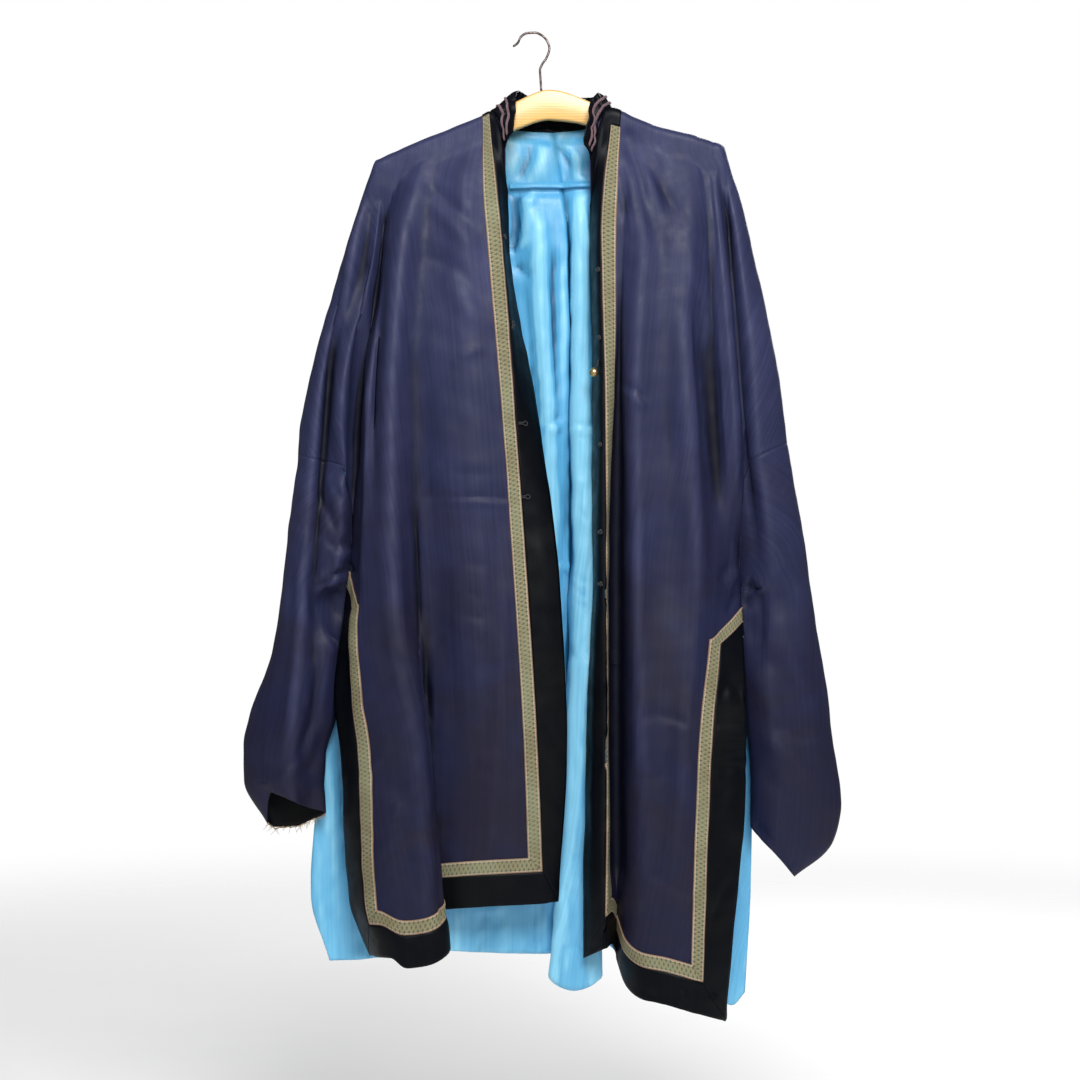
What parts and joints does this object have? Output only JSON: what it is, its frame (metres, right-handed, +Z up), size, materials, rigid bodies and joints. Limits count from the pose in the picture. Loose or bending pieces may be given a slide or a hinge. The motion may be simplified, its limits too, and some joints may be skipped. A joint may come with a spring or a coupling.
{
  "type": "lined silk robe on a wooden clothes hanger",
  "caption": "Long-sleeved silk robe, open down the front, with trimmed borders and side slits, hanging on a wooden hanger with a wire hook.",
  "frame": {"origin": "the inner top of the wire hook, where a nail or rail carries it", "axes": "+Z up; the robe faces -Y; +X is to the right of someone who faces it"},
  "size_m": [0.7615, 0.131, 1.2427],
  "materials": {
    "navy_silk": "satin-woven navy silk, faded and a little brown in places",
    "black_satin": "black silk satin with a soft sheen",
    "woven_ribbon": "woven ribbon, tan edges and a green-gold lozenge ground",
    "blue_lining": "pale blue thin silk, creased",
    "mauve_piping": "narrow mauve braid",
    "black_cord": "knotted black cord",
    "gilt_metal": "worn gilt",
    "varnished_wood": "pale varnished wood",
    "hook_wire": "dulled steel wire"
  },
  "bodies": {
    "root": {"panel_front_left": "navy_silk", "border_hem_front_left": "black_satin", "ribbon_hem_front_left": "woven_ribbon", "border_slit_front_left": "black_satin", "ribbon_slit_front_left": "woven_ribbon", "border_opening_front_left": "black_satin", "ribbon_opening_front_left": "woven_ribbon", "panel_front_right": "navy_silk", "border_hem_front_right": "black_satin", "ribbon_hem_front_right": "woven_ribbon", "border_slit_front_right": "black_satin", "ribbon_slit_front_right": "woven_ribbon", "border_opening_front_right": "black_satin", "ribbon_opening_front_right": "woven_ribbon", "panel_back_left": "navy_silk", "border_hem_back_left": "black_satin", "ribbon_hem_back_left": "woven_ribbon", "border_slit_back_left": "black_satin", "ribbon_slit_back_left": "woven_ribbon", "lining_back_left": "blue_lining", "panel_back_right": "navy_silk", "border_hem_back_right": "black_satin", "ribbon_hem_back_right": "woven_ribbon", "border_slit_back_right": "black_satin", "ribbon_slit_back_right": "woven_ribbon", "lining_back_right": "blue_lining", "border_neck_back": "black_satin", "lining_front_left": "blue_lining", "sleeve_left": "navy_silk", "sleeve_right": "navy_silk", "cuff_facing_left": "black_satin", "collar": "black_satin", "collar_piping_1": "mauve_piping", "collar_piping_2": "mauve_piping", "frog_left_1": "black_cord", "frog_left_2": "black_cord", "frog_left_3": "black_cord", "frog_left_4": "black_cord", "frog_right_1": "black_cord", "frog_right_2": "black_cord", "frog_right_3": "black_cord", "frog_right_4": "black_cord", "frog_right_5": "black_cord", "ball_button": "gilt_metal", "hanger_body": "varnished_wood", "hanger_hook": "hook_wire"}
  },
  "joints": []
}
